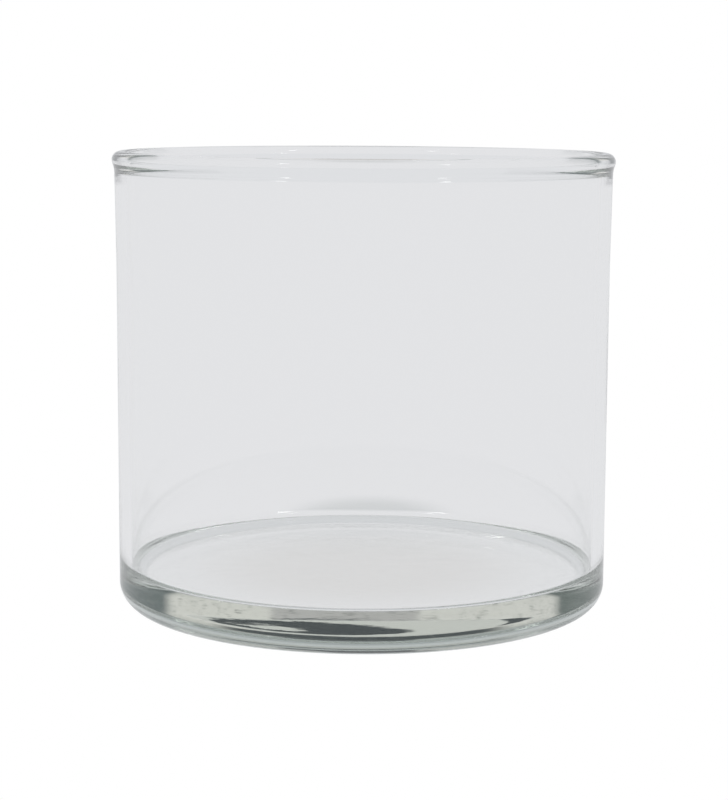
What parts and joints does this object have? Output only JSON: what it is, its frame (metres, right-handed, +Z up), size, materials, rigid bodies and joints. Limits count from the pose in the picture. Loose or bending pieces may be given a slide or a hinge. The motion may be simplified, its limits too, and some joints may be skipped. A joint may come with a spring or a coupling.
{
  "type": "crystallizing dish",
  "caption": "Deep straight-sided open glass dish with a thick flat bottom, rounded heel and fire-polished beaded rim.",
  "frame": {"origin": "centre of the foot ring, on the plane the dish stands on", "axes": "+Z up along the axis of the dish, towards its open mouth; X and Y are free, because the dish is round"},
  "size_m": [0.1014, 0.1014, 0.0925],
  "materials": {
    "clear_glass": "clear, fire-polished"
  },
  "bodies": {
    "root": {"base": "clear_glass", "wall": "clear_glass", "rim_bead": "clear_glass"}
  },
  "joints": []
}
